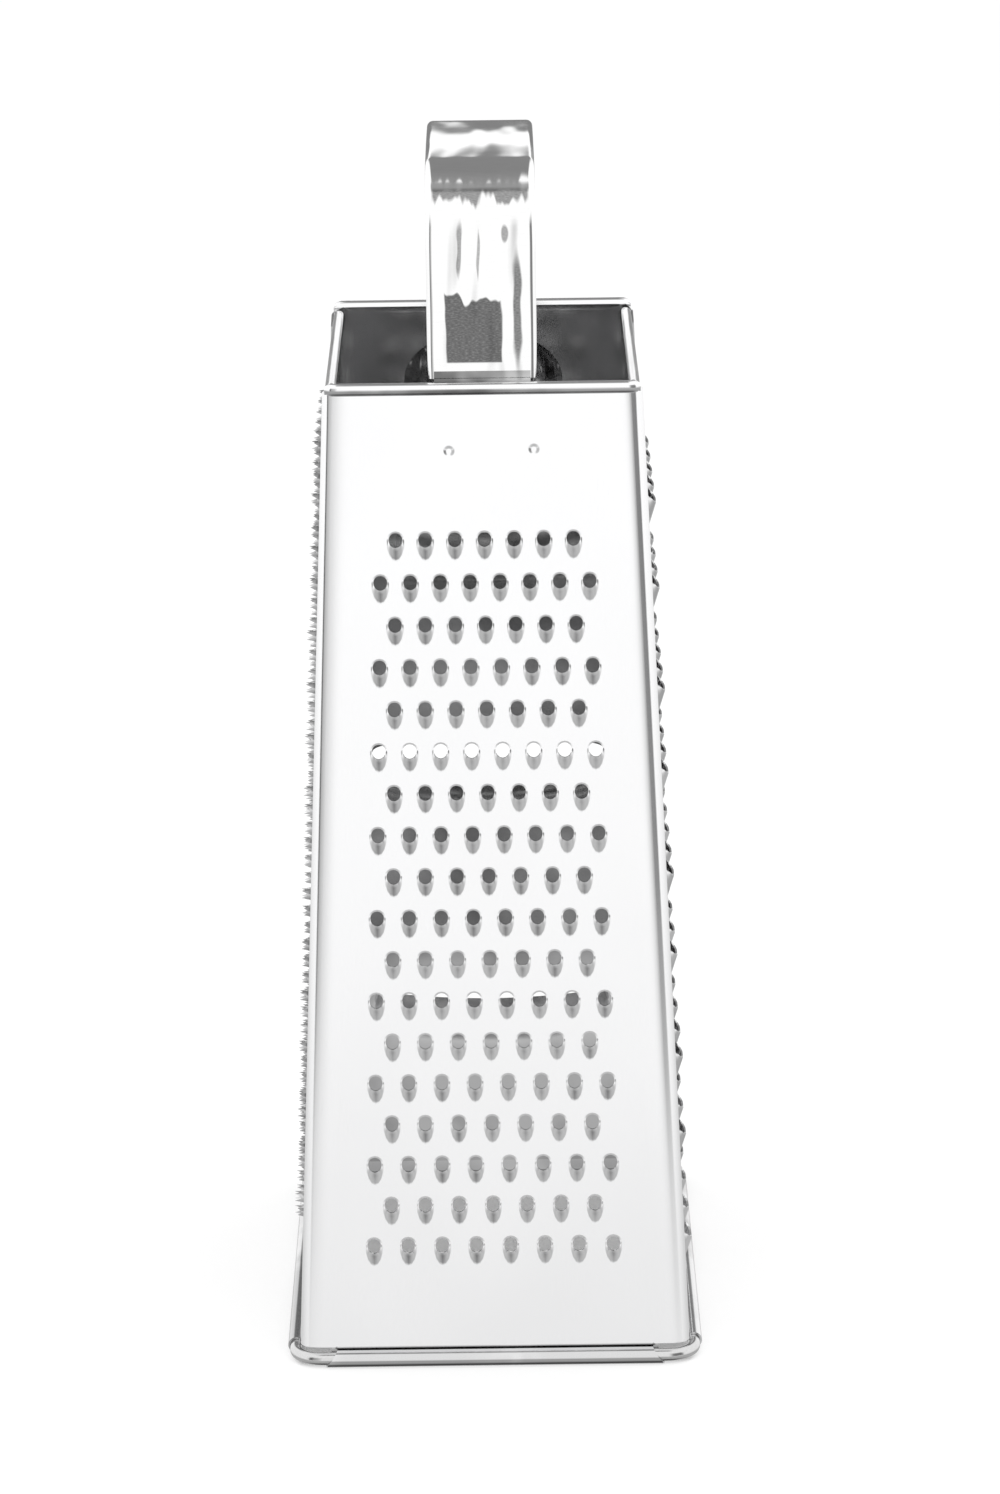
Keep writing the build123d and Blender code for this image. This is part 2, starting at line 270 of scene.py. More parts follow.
def roll(wall, centre_drop, bore, turn, strip, half_length, slant, pinch, painted_shade, inward=False):
    """A rolled edge: a strip of the wall and an arc of the bore's radius, carried across the wall.

    A slant makes the roll longer below than above. Over its last two millimetres the roll's radius
    shrinks by the pinch's share, so its end is drawn in. An inward roll is mirrored in the sheet.
    It has two levels of painted shade: one for its top and one for its underside.
    """
    angle = np.radians(180 + np.linspace(0, turn, 37))
    share = np.sin(np.linspace(-np.pi / 2, np.pi / 2, 31))[:, None]
    from_end = np.clip((1 - np.abs(share)) * half_length / 2.0, 0, 1)
    narrow = 1 - pinch * (1 - np.sqrt(1 - (1 - from_end) ** 2))
    grids = []
    for radius in (bore + sheet, bore):
        out = np.concatenate([[bore - radius], bore + radius * np.cos(angle)])
        rise = np.concatenate([[0.0], radius * np.sin(angle)])
        reach = half_length - slant * np.sin(np.concatenate([[np.pi], angle]))
        out = -sheet + (out + sheet) * narrow
        drop = centre_drop - rise * narrow
        drop[:, 0] = strip
        points = wall.place(share * reach, drop, -sheet - out if inward else out)
        points[..., 2] = np.maximum(points[..., 2], 0.0)
        grids.append(points)
    # Painted shade by column: the underside's level where the arc faces downwards, the top's level elsewhere.
    painted_darkening = np.concatenate([[painted_shade[0]], np.where(np.sin(angle) < 0.05, painted_shade[1], painted_shade[0])])
    return plate(marked(grids[0], painted_darkening), grids[1])


def corner_fold(direction, side, top_bend):
    """One corner of a folded wall, with its flange, in level sections up the height.

    A section starts on the flat face, sags a little towards the corner, turns round an arc whose
    radius grows towards the base, and runs back as the flange.
    """
    flat_share = np.linspace(0, 1, 11)
    flat_top = body_height - rim_radius + rim_radius * flat_share**2
    bend_top = np.linspace(body_height - 0.1, flange_top + 1.5, 11)
    back_top = np.linspace(flange_top + 1.2, flange_top, 6)
    top_of = np.concatenate([flat_top, bend_top, back_top])
    share = np.linspace(0, 1, 33)[:, None]
    z = notch_height + (top_of - notch_height) * share
    half_width, half_depth = size_at("width", z) / 2, size_at("depth", z) / 2
    bend = top_bend + (foot_bend - top_bend) * (1 - z / body_height)
    sag, power, slope = 0.2, 2.6, 0.11
    arc = np.linspace(slope, np.pi / 2, 12)[1:]
    x = np.empty_like(z)
    y = np.empty_like(z)
    end = half_width - bend * (1 - math.sin(slope))
    start = half_width - shoulder
    x[:, :11] = start[:, :11] + (end - start)[:, :11] * flat_share
    y[:, :11] = half_depth[:, :11] - sag * flat_share**power
    hub_y = half_depth - sag - bend * math.cos(slope)
    x[:, 11:22] = (half_width - bend)[:, 11:22] + bend[:, 11:22] * np.sin(arc)
    y[:, 11:22] = hub_y[:, 11:22] + bend[:, 11:22] * np.cos(arc)
    back = np.linspace(0, 1, 7)[1:]
    x[:, 22:] = half_width[:, 22:]
    y[:, 22:] = hub_y[:, 22:] + (half_depth - lap - hub_y)[:, 22:] * back
    along_x, along_y = np.gradient(x, axis=1), np.gradient(y, axis=1)
    length = np.hypot(along_x, along_y)
    inner_x, inner_y = x + sheet * along_y / length, y - sheet * along_x / length
    outer = np.stack([side * x, direction * y, z], axis=-1)
    inner = np.stack([side * inner_x, direction * inner_y, z], axis=-1)
    return plate(outer, inner)


def folded_wall(wall, direction, rows, tooth):
    """A folded wall: its toothed middle, its corners and its two rolled edges."""
    lowest = wall.drop_to(notch_height, 0.0)
    base_drop = wall.drop_to(wire_height, hem_bore)

    def half_at(drop):
        """Where the flat middle ends, at a drop."""
        return size_at("width", body_height - drop * math.cos(wall.lean)) / 2 - shoulder

    patches = toothed_field(wall, half_at, rim_radius, lowest, rows, tooth)
    patches += corner_fold(direction, direction, top_bend=1.8)
    patches += corner_fold(direction, -direction, top_bend=2.7)
    # The base hem carries a light painted shade, and the rim's underside a dark one.
    patches += roll(
        wall, base_drop, hem_bore, hem_turn, lowest,
        half_length=33.0, slant=1.15, pinch=0.0, painted_shade=(0.3, 0.4),
    )
    patches += roll(
        wall, rim_radius - rim_lift, rim_radius - sheet, rim_turn, rim_radius,
        half_length=30.9, slant=0.0, pinch=0.75, painted_shade=(0.0, 0.8),
    )
    return patches


front = Wall(0, -1, 0.0)
fine_scoop = {
    "cells": formed_cells,
    "sides": 16,
    "hole": (1.38, 1.38, 1.38, 2, 2),
    "foot": (1.76, 1.75, 4.1, 2, 2),
    "rings": [0, 0.3, 0.6, 0.85, 1, 1.1],
    "start": 0.0,
    "arch": 1.3,
    "rise": 1.05,
    "dip": 0.1,
    "fall": 1.35,
    # Painted shade along the tooth's lowest line.
    "tip_shade": 0.55,
    "tip_shade_power": 12,
    "deep": False,
    "above": 3.5,
    "below": 4.95,
}
fine_rows = rows_of(
    first_drop=30.1, pitch=8.454, count=18, columns=8, axis="width", spread_share=0.625, long_first=False
)
fine_wall = make_piece("fine_shredder_wall", folded_wall(front, -1, fine_rows, fine_scoop))


def new_group(name, inputs, outputs):
    """An empty shader node group with its named sockets."""
    group = bpy.data.node_groups.new(name, "ShaderNodeTree")
    for label, kind, value in inputs:
        socket = group.interface.new_socket(label, in_out="INPUT", socket_type=kind)
        if value is not None:
            socket.default_value = value
    for label, kind in outputs:
        group.interface.new_socket(label, in_out="OUTPUT", socket_type=kind)
    return group, group.nodes.new("NodeGroupInput"), group.nodes.new("NodeGroupOutput")


def node(tree, kind, values=None, **settings):
    """A node with its settings and the values of its unlinked inputs."""
    made = tree.nodes.new(kind)
    for key, value in settings.items():
        setattr(made, key, value)
    for key, value in (values or {}).items():
        made.inputs[key].default_value = value
    return made


def calc(tree, operation, *values):
    """The result of a maths node whose inputs are numbers or other nodes' outputs."""
    made = node(tree, "ShaderNodeMath", operation=operation)
    for socket, value in zip(made.inputs, values):
        if isinstance(value, bpy.types.NodeSocket):
            tree.links.new(value, socket)
        else:
            socket.default_value = value
    return made.outputs[0]


def step(tree, value, low, high):
    """A smooth step from nothing to one as a value passes from low to high."""
    limits = {"From Min": low, "From Max": high}
    made = node(tree, "ShaderNodeMapRange", limits, interpolation_type="SMOOTHSTEP")
    tree.links.new(value, made.inputs["Value"])
    return made.outputs["Result"]


def millimetres(tree):
    """The object's own coordinates in millimetres, one output for each axis."""
    place = node(tree, "ShaderNodeTexCoord")
    scaled = node(tree, "ShaderNodeVectorMath", operation="SCALE")
    scaled.inputs["Scale"].default_value = 1000
    axes = node(tree, "ShaderNodeSeparateXYZ")
    tree.links.new(place.outputs["Object"], scaled.inputs[0])
    tree.links.new(scaled.outputs[0], axes.inputs[0])
    return axes.outputs


def spot(tree, x, z, middle, half_size, soft):
    """One inside an ellipse and nothing outside, with a soft border, from two coordinates."""
    across = calc(tree, "MULTIPLY", calc(tree, "SUBTRACT", x, middle[0]), 1 / half_size[0])
    up = calc(tree, "MULTIPLY", calc(tree, "SUBTRACT", z, middle[1]), 1 / half_size[1])
    reach = calc(tree, "SQRT", calc(tree, "ADD", calc(tree, "POWER", across, 2), calc(tree, "POWER", up, 2)))
    return step(tree, reach, 1 + soft, 1 - soft)


# Drawn grain: fine noise pulled long one way, with broad cloudy polishing marks under it
grain_group, grain_in, grain_out = new_group(
    "steel_grain",
    [
        ("Stretch", "NodeSocketVector", (1, 1, 1)), ("Strength", "NodeSocketFloat", 0.1),
        ("Rough", "NodeSocketFloat", 0.2),
    ],
    [
        ("Roughness", "NodeSocketFloat"), ("Shade", "NodeSocketFloat"), ("Height", "NodeSocketFloat"),
        ("Clouds", "NodeSocketFloat"),
    ],
)
place = node(grain_group, "ShaderNodeTexCoord")
pulled = node(grain_group, "ShaderNodeVectorMath", operation="MULTIPLY")
lines = node(grain_group, "ShaderNodeTexNoise", {"Scale": 1.0, "Detail": 3.0, "Roughness": 0.6})
clouds = node(grain_group, "ShaderNodeTexNoise", {"Scale": 28.0, "Detail": 4.0, "Roughness": 0.55})
centred = node(grain_group, "ShaderNodeMath", {1: -0.5}, operation="ADD")
scaled = node(grain_group, "ShaderNodeMath", operation="MULTIPLY")
rough_lines = node(grain_group, "ShaderNodeMath", {1: 0.35}, operation="MULTIPLY")
rough_clouds = node(grain_group, "ShaderNodeMath", {1: 0.10, 2: -0.05}, operation="MULTIPLY_ADD")
rough_sum = node(grain_group, "ShaderNodeMath", operation="ADD")
rough_all = node(grain_group, "ShaderNodeMath", operation="ADD", use_clamp=True)
shade = node(grain_group, "ShaderNodeMath", {2: 1.0}, operation="MULTIPLY_ADD")
link = grain_group.links.new
link(place.outputs["Object"], pulled.inputs[0])
link(grain_in.outputs["Stretch"], pulled.inputs[1])
link(pulled.outputs[0], lines.inputs["Vector"])
link(place.outputs["Object"], clouds.inputs["Vector"])
link(lines.outputs["Fac"], centred.inputs[0])
link(centred.outputs[0], scaled.inputs[0])
link(grain_in.outputs["Strength"], scaled.inputs[1])
link(scaled.outputs[0], rough_lines.inputs[0])
link(clouds.outputs["Fac"], rough_clouds.inputs[0])
link(rough_lines.outputs[0], rough_sum.inputs[0])
link(rough_clouds.outputs[0], rough_sum.inputs[1])
link(rough_sum.outputs[0], rough_all.inputs[0])
link(grain_in.outputs["Rough"], rough_all.inputs[1])
link(centred.outputs[0], shade.inputs[0])
link(grain_in.outputs["Strength"], shade.inputs[1])
link(rough_all.outputs[0], grain_out.inputs["Roughness"])
link(shade.outputs[0], grain_out.inputs["Shade"])
link(scaled.outputs[0], grain_out.inputs["Height"])
link(step(grain_group, clouds.outputs["Fac"], 0.60, 0.44), grain_out.inputs["Clouds"])

# Pressed unevenness: slow waves that bend the reflections of thin sheet
wave_group, wave_in, wave_out = new_group(
    "sheet_waves",
    [
        ("Scale", "NodeSocketFloat", 30.0), ("Stretch", "NodeSocketVector", (1, 1, 1)),
        ("Depth", "NodeSocketFloat", 0.1),
    ],
    [("Height", "NodeSocketFloat")],
)
wave_place = node(wave_group, "ShaderNodeTexCoord")
wave_pull = node(wave_group, "ShaderNodeVectorMath", operation="MULTIPLY")
wave_noise = node(wave_group, "ShaderNodeTexNoise", {"Detail": 1.0, "Roughness": 0.4})
wave_depth = node(wave_group, "ShaderNodeMath", operation="MULTIPLY")
link = wave_group.links.new
link(wave_place.outputs["Object"], wave_pull.inputs[0])
link(wave_in.outputs["Stretch"], wave_pull.inputs[1])
link(wave_pull.outputs[0], wave_noise.inputs["Vector"])
link(wave_in.outputs["Scale"], wave_noise.inputs["Scale"])
link(wave_noise.outputs["Fac"], wave_depth.inputs[0])
link(wave_in.outputs["Depth"], wave_depth.inputs[1])
link(wave_depth.outputs[0], wave_out.inputs["Height"])


# Painted shade: the colour turns dark where points carry painted shade, more in some clouds than in others
painted_shade_group, painted_shade_in, painted_shade_out = new_group(
    "painted_darkening",
    [
        ("Bright", "NodeSocketColor", (1, 1, 1, 1)), ("Clouds", "NodeSocketFloat", 1.0),
        ("Shade", "NodeSocketFloat", 1.0),
    ],
    [("Color", "NodeSocketColor")],
)
painted_shade = node(painted_shade_group, "ShaderNodeAttribute", attribute_name="painted_shade")
uneven = calc(painted_shade_group, "MULTIPLY_ADD", painted_shade_in.outputs["Clouds"], 0.75, 0.45)
shade_mix = node(painted_shade_group, "ShaderNodeMix", {"B": (0.16, 0.16, 0.16, 1)}, data_type="RGBA")
tint = node(painted_shade_group, "ShaderNodeMix", {"Factor": 1.0}, data_type="RGBA", blend_type="MULTIPLY")
link = painted_shade_group.links.new
link(calc(painted_shade_group, "MULTIPLY", painted_shade.outputs["Fac"], uneven), shade_mix.inputs["Factor"])
link(painted_shade_in.outputs["Bright"], shade_mix.inputs["A"])
link(shade_mix.outputs["Result"], tint.inputs["A"])
link(painted_shade_in.outputs["Shade"], tint.inputs["B"])
link(tint.outputs["Result"], painted_shade_out.inputs["Color"])

# Spot welds: two shallow round dents in each folded wall
weld_group, _, weld_out = new_group("weld_dents", [], [("Height", "NodeSocketFloat")])
axes = millimetres(weld_group)
weld_places = ((-6.7, 185.4), (9.9, 185.6))
dents = [spot(weld_group, axes["X"], axes["Z"], middle, (0.8, 0.8), 0.5) for middle in weld_places]
sunk = calc(weld_group, "MULTIPLY", calc(weld_group, "ADD", *dents), -1.0)
weld_group.links.new(sunk, weld_out.inputs["Height"])


def steel(name, colour, roughness, grain, grain_stretch, waves, wave_stretch, wave_scale, **extra):
    """Polished steel: grained roughness and shade, a bump from grain and waves, darker where painted shade is
    marked.

    Extras are dents, a group with a height, and a patch, a group with a mask and the colour it lays on.
    """
    material = bpy.data.materials.new(name)
    material.use_nodes = True
    tree = material.node_tree
    shader = tree.nodes["Principled BSDF"]
    shader.inputs["Metallic"].default_value = 1.0
    grained = node(tree, "ShaderNodeGroup", node_tree=grain_group)
    grained.inputs["Stretch"].default_value = grain_stretch
    grained.inputs["Strength"].default_value = grain
    grained.inputs["Rough"].default_value = roughness
    waved = node(tree, "ShaderNodeGroup", node_tree=wave_group)
    waved.inputs["Scale"].default_value = wave_scale
    waved.inputs["Stretch"].default_value = wave_stretch
    waved.inputs["Depth"].default_value = 1.0
    shaded = node(tree, "ShaderNodeGroup", node_tree=painted_shade_group)
    shaded.inputs["Bright"].default_value = (*colour, 1)
    tree.links.new(grained.outputs["Clouds"], shaded.inputs["Clouds"])
    tree.links.new(grained.outputs["Shade"], shaded.inputs["Shade"])
    shade = shaded.outputs["Color"]
    if "patch" in extra:
        patch_group, patch_colour = extra["patch"]
        patched = node(tree, "ShaderNodeGroup", node_tree=patch_group)
        cover = node(tree, "ShaderNodeMix", {"B": (*patch_colour, 1)}, data_type="RGBA")
        tree.links.new(patched.outputs["Mask"], cover.inputs["Factor"])
        tree.links.new(shade, cover.inputs["A"])
        shade = cover.outputs["Result"]
    wave_bump = node(tree, "ShaderNodeBump", {"Distance": waves, "Strength": 1.0})
    grain_bump = node(tree, "ShaderNodeBump", {"Distance": 0.00002, "Strength": 0.35})
    tree.links.new(shade, shader.inputs["Base Color"])
    tree.links.new(grained.outputs["Roughness"], shader.inputs["Roughness"])
    tree.links.new(waved.outputs["Height"], wave_bump.inputs["Height"])
    tree.links.new(wave_bump.outputs["Normal"], grain_bump.inputs["Normal"])
    tree.links.new(grained.outputs["Height"], grain_bump.inputs["Height"])
    if "dents" in extra:
        dented = node(tree, "ShaderNodeGroup", node_tree=extra["dents"])
        dent_bump = node(tree, "ShaderNodeBump", {"Distance": 0.00012, "Strength": 1.0})
        tree.links.new(dented.outputs["Height"], dent_bump.inputs["Height"])
        tree.links.new(dent_bump.outputs["Normal"], wave_bump.inputs["Normal"])
    tree.links.new(grain_bump.outputs["Normal"], shader.inputs["Normal"])
    return material


wall_steel = steel(
    "wall_steel",
    colour=(0.85, 0.85, 0.855),
    roughness=0.12,
    grain=0.08,
    grain_stretch=(9000, 9000, 160),
    waves=0.00035,
    wave_stretch=(1, 1, 0.4),
    wave_scale=30.0,
    dents=weld_group,
)
fine_wall.data.materials.append(wall_steel)
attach(fine_wall, "root")
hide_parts("fine_shredder_panel")

# The slicing wall: the same folded stainless sheet, cut by three wide slots. Below each slot the
# sheet is drawn out into a long low blade whose edge dips in the middle.
rear = Wall(0, 1, 0.0)
slot_blade = {
    "cells": formed_cells,
    "sides": 80,
    "hole": (25.0, 4.0, 3.1, 5, 1.75),
    "foot": (26.2, 5.0, 12.0, 3.2, 3.2),
    "rings": [0, 0.03, 0.12, 0.3, 0.5, 0.7, 0.86, 1],
    "start": 0.0,
    "arch": 0.45,
    "rise": 1.9,
    "dip": 0.05,
    "fall": 1.25,
    "tip_shade": 0.0,
    "tip_shade_power": 1,
    "deep": True,
    "above": 6.0,
    "below": 14.0,
}
first_slot_drop, slot_pitch, slot_cell_width = 47.3, 53.5, 52.8
slot_rows = [(first_slot_drop + slot_pitch * number, 1, slot_cell_width) for number in range(3)]
slicing_wall = make_piece("slicing_wall", folded_wall(rear, 1, slot_rows, slot_blade))
slicing_wall.data.materials.append(wall_steel)
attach(slicing_wall, "root")
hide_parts("slicing_panel")

# The coarsely shredding wall: a flat tapering sheet held inside the flanges, with hooded scoops that
# open upwards, pressed out of it in rows of five and four.
right = Wall(1, 0, side_inset)
coarse_scoop = {
    "cells": formed_cells,
    "sides": 24,
    "hole": (3.5, 2.0, 1.9, 2.2, 2.2),
    "foot": (4.2, 2.6, 8.1, 2.1, 2.1),
    "rings": [0, 0.06, 0.2, 0.4, 0.6, 0.8, 0.93, 1, 1.05],
    "start": 0.12,
    "arch": 0.5,
    "rise": 2.3,
    "dip": 0.15,
    "fall": 0.95,
    # Painted shade along the scoop's lowest line.
    "tip_shade": 0.45,
    "tip_shade_power": 1,
    "deep": True,
    "above": 4.7,
    "below": 14.4,
}
coarse_rows = rows_of(
    first_drop=24.9, pitch=19.1, count=9, columns=5, axis="depth", spread_share=0.62, long_first=True
)


def flat_wall(wall, rows, tooth):
    """A flat wall: its toothed middle and its two rolled edges, which end short of the corners."""
    lowest = wall.drop_to(notch_height, 0.0)
    base_drop = wall.drop_to(wire_height, hem_bore)

    def half_at(drop):
        """Where the sheet ends inside the folded walls' corners, at a drop."""
        corner_gap = 1.8
        return size_at("depth", body_height - drop * math.cos(wall.lean)) / 2 - corner_gap

    patches = toothed_field(wall, half_at, rim_radius, lowest, rows, tooth)
    # The base hem carries painted shade all along, and the rim's underside a darker one.
    patches += roll(
        wall, base_drop, hem_bore, hem_turn, lowest,
        half_length=47.5, slant=0.0, pinch=0.0, painted_shade=(0.5, 0.5),
    )
    patches += roll(
        wall, rim_radius, rim_radius - sheet, rim_turn, rim_radius,
        half_length=36.8, slant=0.0, pinch=0.6, painted_shade=(0.0, 0.6), inward=True,
    )
    return patches


coarse_wall = make_piece("coarse_shredder_wall", flat_wall(right, coarse_rows, coarse_scoop))
coarse_wall.data.materials.append(wall_steel)
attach(coarse_wall, "root")
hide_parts("coarse_shredder_panel")

# The rasp: a flat sheet like the coarse one, held inside the flanges as well. It is punched through
# from inside, so that each small hole is burst into a crown of sharp burrs.
left = Wall(-1, 0, side_inset)


def burst_cells(wall, across, drop, half_cell, above, below, tooth):
    """Cells of sheet with a burst hole in each.

    Rings of points run from the hole through the crown's rim, whose height swings between a spike and
    a notch four times round and differs a little from hole to hole, down to its foot and the cell.
    """
    sides = tooth["sides"]
    angle = np.pi / 4 + 2 * np.pi * np.arange(sides + 1) / sides
    reach = np.maximum(np.abs(np.cos(angle)), np.abs(np.sin(angle)))
    square_x, square_y = np.cos(angle) / reach, np.sin(angle) / reach
    swing = 0.5 + 0.5 * np.cos(4 * (angle - np.pi / 4))
    seed = np.sin(12.9898 * across[:, None] + 78.233 * drop[:, None] + 37.7 * np.round(np.cos(angle), 6))
    chance = seed * 43758.5453 - np.floor(seed * 43758.5453)
    chance[:, -1] = chance[:, 0]
    crown = tooth["notch"] + (tooth["spike"] - tooth["notch"]) * swing * (0.62 + 0.38 * chance)
    flat = np.ones((len(across), 1))
    cell_x = flat * square_x * half_cell[:, None]
    cell_y = flat * np.where(square_y > 0, square_y * above, square_y * below)
    xs, ys, outs = [cell_x], [cell_y], [flat * (0 * angle - sheet)]
    for radius, floor, share in tooth["rings"]:
        xs.append(flat * radius * np.cos(angle) * (1 + 0.12 * swing))
        ys.append(flat * radius * np.sin(angle) * (1 + 0.12 * swing))
        outs.append(floor + share * crown)
    xs.append(cell_x)
    ys.append(cell_y)
    outs.append(flat * 0 * angle)
    x, y, out = (np.stack(parts, axis=1) for parts in (xs, ys, outs))
    points = wall.place(x + across[:, None, None], drop[:, None, None] - y, out)
    return marked(points, np.array(tooth["painted_shade"])[:, None])


burr = {
    "cells": burst_cells,
    "sides": 12,
    "rings": [(0.6, -sheet, 0), (0.66, 0, 0.4), (0.95, 0, 1), (1.12, 0, 0.55), (1.35, 0, 0.15), (1.85, 0, 0)],
    # Painted shade, ring by ring: dark on the crown's inner side and round its foot, lighter at its tips,
    # fading into the plain sheet.
    "painted_shade": [0.5, 0.5, 0.9, 0.3, 0.45, 0.95, 0.4, 0],
    "notch": 0.95,
    "spike": 2.7,
    "above": 2.65,
    "below": 2.65,
}
burr_rows = rows_of(
    first_drop=15.2, pitch=5.3, count=31, columns=7, axis="depth", spread_share=0.69, long_first=False
)
rasp_wall = make_piece("rasp_wall", flat_wall(left, burr_rows, burr))
rasp_wall.data.materials.append(wall_steel)
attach(rasp_wall, "root")
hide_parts("rasp_panel")

# The wire ring at the base: round drawn steel wire, bent to a rounded rectangle with closed ends. The
# hems of all four walls are rolled round it, and it is bare at its corners.
wire_bend = 5.5
wire_half_x = right.place(0.0, right.drop_to(wire_height, hem_bore), hem_bore)[0]
wire_half_y = -front.place(0.0, front.drop_to(wire_height, hem_bore), hem_bore)[1]


def wire_ring():
    """A circle carried round a rectangle whose corners are quarter circles."""
    turn = np.concatenate([np.linspace(0, np.pi / 2, 13) + quarter * np.pi / 2 for quarter in range(4)])
    hub_x = np.repeat(np.array([1, -1, -1, 1]), 13) * (wire_half_x - wire_bend)
    hub_y = np.repeat(np.array([1, 1, -1, -1]), 13) * (wire_half_y - wire_bend)
    turn, hub_x, hub_y = (np.append(a, a[0]) for a in (turn, hub_x, hub_y))
    round_wire = np.linspace(0, 2 * np.pi, 25)
    radius = wire_bend + wire_radius * np.cos(round_wire)
    x = hub_x[:, None] + radius * np.cos(turn)[:, None]
    y = hub_y[:, None] + radius * np.sin(turn)[:, None]
    z = wire_height + wire_radius * np.sin(round_wire) + 0 * x
    return np.stack([x, y, z], axis=-1)


ring = make_piece("base_wire_ring", [wire_ring()])
wire_steel = steel(
    "wire_steel",
    colour=(0.62, 0.62, 0.62),
    roughness=0.16,
    grain=0.16,
    grain_stretch=(2500, 2500, 2500),
    waves=0.0001,
    wave_stretch=(1, 1, 1),
    wave_scale=60.0,
)
ring.data.materials.append(wire_steel)
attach(ring, "root")
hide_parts("base_wire")

# The handle: a polished strap bent to a low bow with both edges rolled under, its flat tails welded
# inside the front and rear walls.
strap_out = -side_inset
handle_rise = 42.29
handle_bend = 17.0
handle_half = 10.7
roll_radius = 1.3
strap_sheet = 0.6
roll_start = 1.5
crown = 0.044
tongue_half_width = 9.4
tongue_end = 8.5
tab_half_width = 16.5
tab_half_height = 10.5
tab_middle = 16.0
tab_dish = 0.35


def strap_path():
    """Points and directions along the bow: leg, arc, slightly crowned top, arc, leg, in the middle plane."""
    lean = front.lean
    inset = side_inset / math.cos(lean)
    top = body_height + handle_rise
    foot_y = size_at("depth", body_height + roll_start) / 2 - inset
    peak_y = size_at("depth", top) / 2 - inset
    turn = math.pi / 2 - lean
    reach = handle_bend * math.tan(turn / 2)
    shoulder_drop = crown * (peak_y - reach) / 2
    leg = np.array([foot_y - peak_y, top - shoulder_drop - body_height - roll_start])
    leg_length = np.hypot(*leg)
    rise = np.linspace(0, 1, 40)[:, None]
    start = np.array([-foot_y, body_height + roll_start])
    bend_start = start + leg * (leg_length - reach) / leg_length
    leg_points = start + (bend_start - start) * rise
    inward = np.array([math.cos(lean), -math.sin(lean)])
    hub = bend_start + inward * handle_bend
    swing = np.linspace(0, turn - crown, 40)[1:, None]
    spoke = -inward * np.cos(swing) + np.array([math.sin(lean), math.cos(lean)]) * np.sin(swing)
    arc_points = hub + handle_bend * spoke
    half = np.concatenate([leg_points, arc_points])
    facing_out = np.concatenate([np.repeat(-inward[None], 40, 0), spoke])
    end_y, end_z = arc_points[-1]
    part = np.linspace(1, 0, 16)[1:]
    crown_points = np.stack([end_y * part, end_z - crown * end_y / 2 * (1 - part**2)], axis=-1)
    crown_out = np.stack([-np.sin(crown * part), np.cos(crown * part)], axis=-1)
    half = np.concatenate([half, crown_points])
    facing_out = np.concatenate([facing_out, crown_out])
    other = half[-2::-1] * [-1, 1]
    other_out = facing_out[-2::-1] * [-1, 1]
    return np.concatenate([half, other]), np.concatenate([facing_out, other_out])


def strap():
    """The strap's section carried along the bow: a flat web and two arcs that roll its edges under."""
    points, outwards = strap_path()
    web = np.linspace(-1, 1, 41) * (handle_half - roll_radius)
    arc = np.radians(np.linspace(-90, 100, 25)[1:])
    grids = []
    for radius in (roll_radius, roll_radius - strap_sheet):
        side_x = handle_half - roll_radius + radius * np.cos(arc)
        side_in = roll_radius + radius * np.sin(arc)
        x = np.concatenate([-side_x[::-1], web, side_x])
        inwards = np.concatenate([side_in[::-1], np.full(41, roll_radius - radius), side_in])
        y = points[:, 0, None] - outwards[:, 0, None] * inwards
        z = points[:, 1, None] - outwards[:, 1, None] * inwards
        grids.append(np.stack([x + 0 * y, y, z], axis=-1))
    return plate(grids[0], grids[1])


def tail(wall):
    """A strap end: a straight tongue that widens to an elliptic tab, by its half width at each drop."""
    tab_drop = tab_middle - tab_half_height * np.cos(np.linspace(0.8, np.pi, 36))
    drop = np.concatenate([np.linspace(-roll_start * 2, tongue_end, 12), tab_drop])
    ellipse = tab_half_width * np.sqrt(np.clip(1 - ((drop - tab_middle) / tab_half_height) ** 2, 0, 1))
    half = np.maximum(ellipse, np.where(drop < tab_middle, tongue_half_width, 0))
    across = half[:, None] * np.linspace(-1, 1, 25)
    drop = drop[:, None] + 0 * across
    reach = (across / tab_half_width) ** 2 + ((drop - tab_middle) / tab_half_height) ** 2
    dish = tab_dish * np.clip(1 - reach, 0, 1) * (drop > 9)
    outer = wall.place(across, drop, strap_out)
    inner = wall.place(across, drop, strap_out - strap_sheet - dish)
    # Both faces of the tail carry painted shade where it lies inside the wall, the outer face darker.
    return plate(marked(outer, 0.95), marked(inner, 0.75))


handle = make_piece("handle_strap", strap() + tail(front) + tail(rear))

# Painted reflection on the front leg: dark places that stand in for a dark reflected band, a broad one with
# a wavy top, a long sliver, some streaks, and a fringe that hangs down from the bend
painted_reflection_group, _, painted_reflection_out = new_group("painted_reflection_places", [], [("Mask", "NodeSocketFloat")])
axes = millimetres(painted_reflection_group)
stretched = node(painted_reflection_group, "ShaderNodeVectorMath", operation="MULTIPLY")
stretched.inputs[1].default_value = (380, 0, 120)
wander = node(painted_reflection_group, "ShaderNodeTexNoise", {"Scale": 1.0, "Detail": 1.0})
hatch_place = node(painted_reflection_group, "ShaderNodeVectorMath", operation="MULTIPLY")
hatch_place.inputs[1].default_value = (1500, 0, 5200)
hatch = node(painted_reflection_group, "ShaderNodeTexNoise", {"Scale": 1.0, "Detail": 2.0})
own_place = node(painted_reflection_group, "ShaderNodeTexCoord")
for scaled_place, noise in ((stretched, wander), (hatch_place, hatch)):
    painted_reflection_group.links.new(own_place.outputs["Object"], scaled_place.inputs[0])
    painted_reflection_group.links.new(scaled_place.outputs[0], noise.inputs["Vector"])
